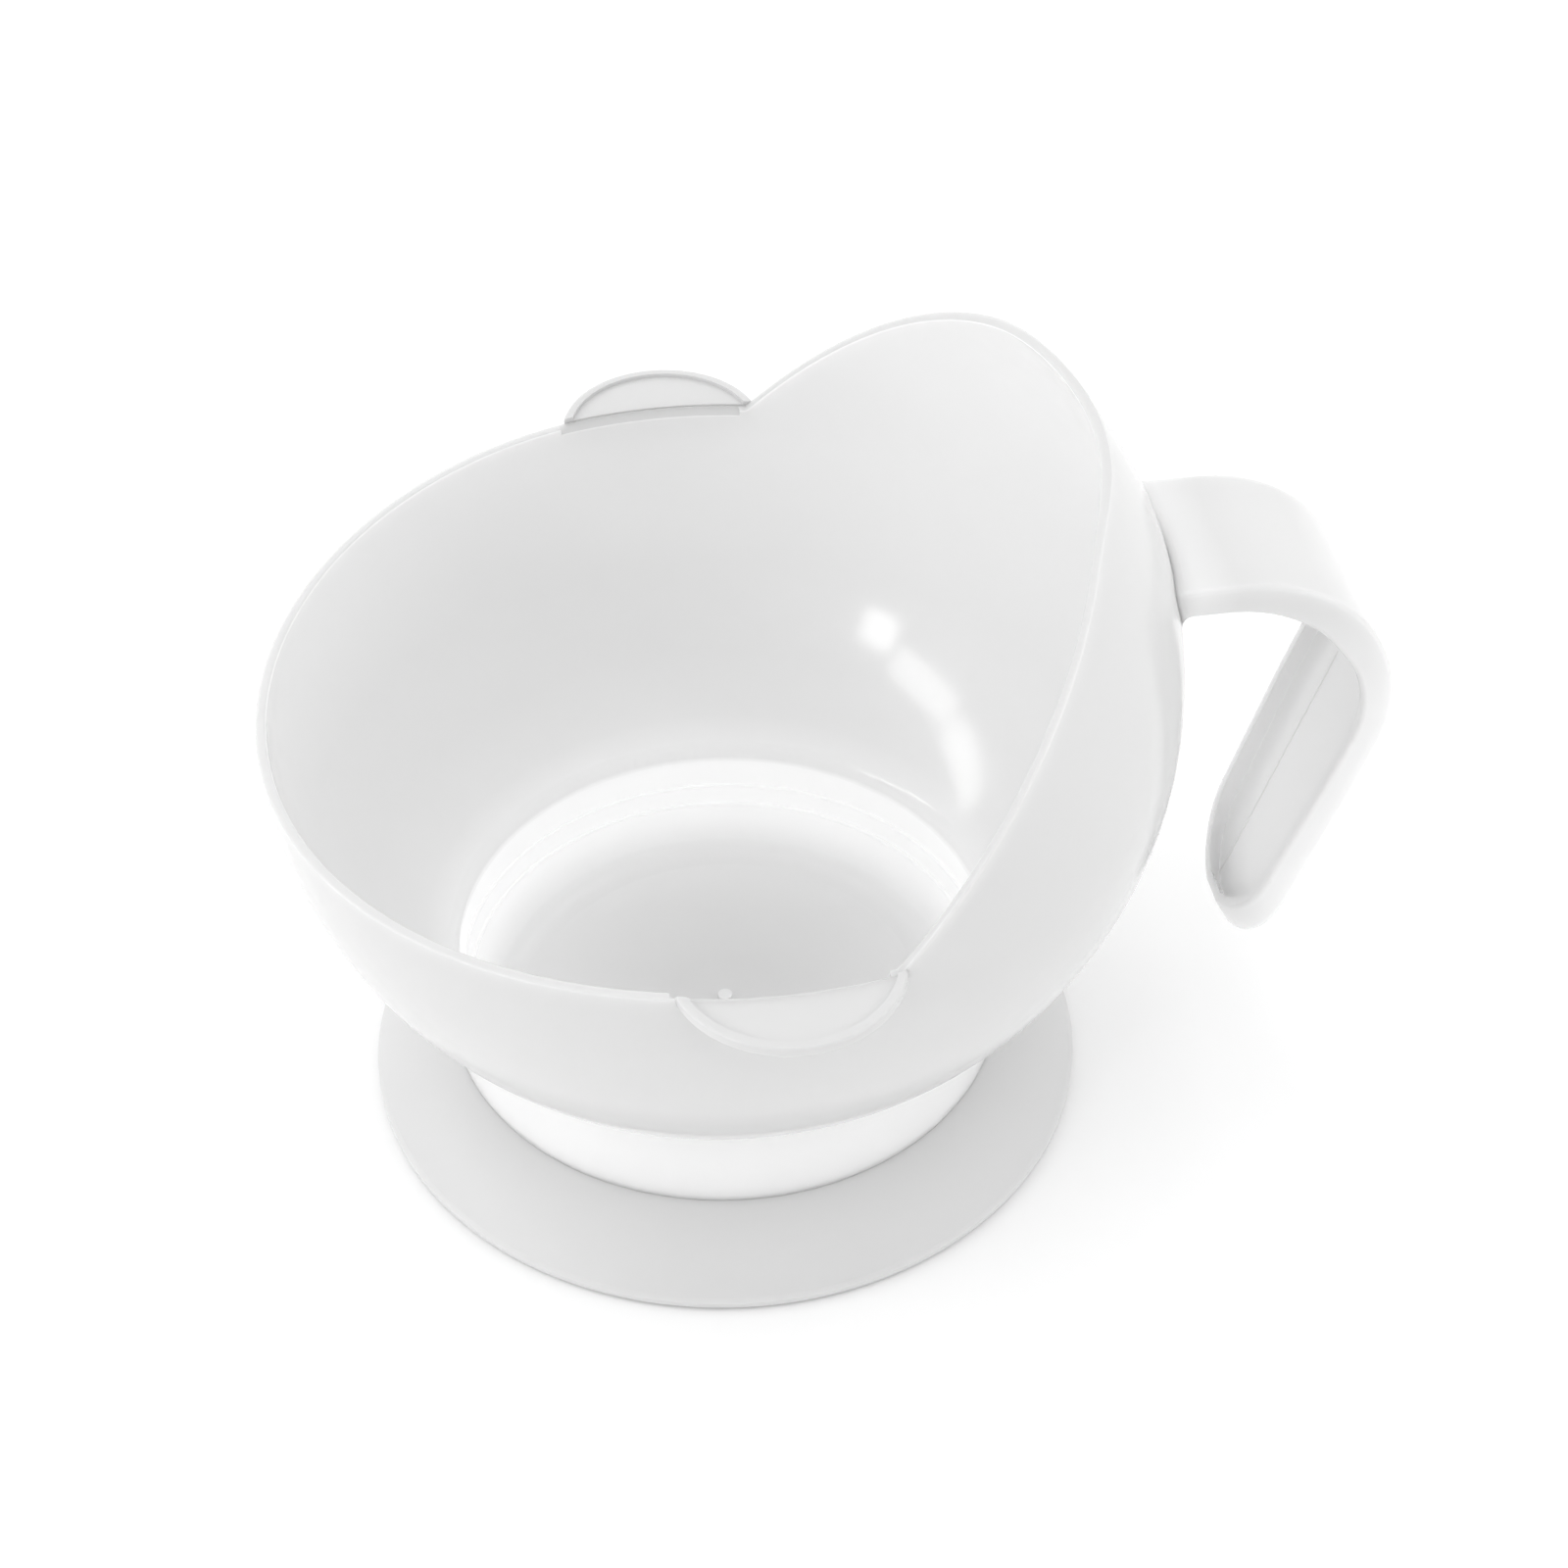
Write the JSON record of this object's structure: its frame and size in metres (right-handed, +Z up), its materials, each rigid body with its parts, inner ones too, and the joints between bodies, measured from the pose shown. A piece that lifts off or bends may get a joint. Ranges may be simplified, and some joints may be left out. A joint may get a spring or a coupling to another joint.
{
  "type": "hair color bowl",
  "caption": "Translucent white mixing bowl with a raised back, side ears, a hook handle and a wide soft base that grips its foot.",
  "frame": {"origin": "centre of the base's rim, in the plane of the table", "axes": "+Z up along the bowl's axis, +X towards the raised back and the hook handle, +Y towards the right ear when the low front faces the viewer"},
  "size_m": [0.1483, 0.1382, 0.1026],
  "materials": {
    "bowl_plastic": "glossy, milky translucent white polypropylene",
    "soft_base": "satin, milky translucent soft plastic"
  },
  "bodies": {
    "base": {"suction_base": "soft_base"},
    "bowl": {"bowl_shell": "bowl_plastic", "ear_left": "bowl_plastic", "ear_right": "bowl_plastic", "hook_handle": "bowl_plastic"}
  },
  "joints": [
    {"name": "bowl_release", "type": "slide", "parent": "base", "child": "bowl", "axis": [0, 0, 1], "range_m": [0, 0.03]}
  ]
}
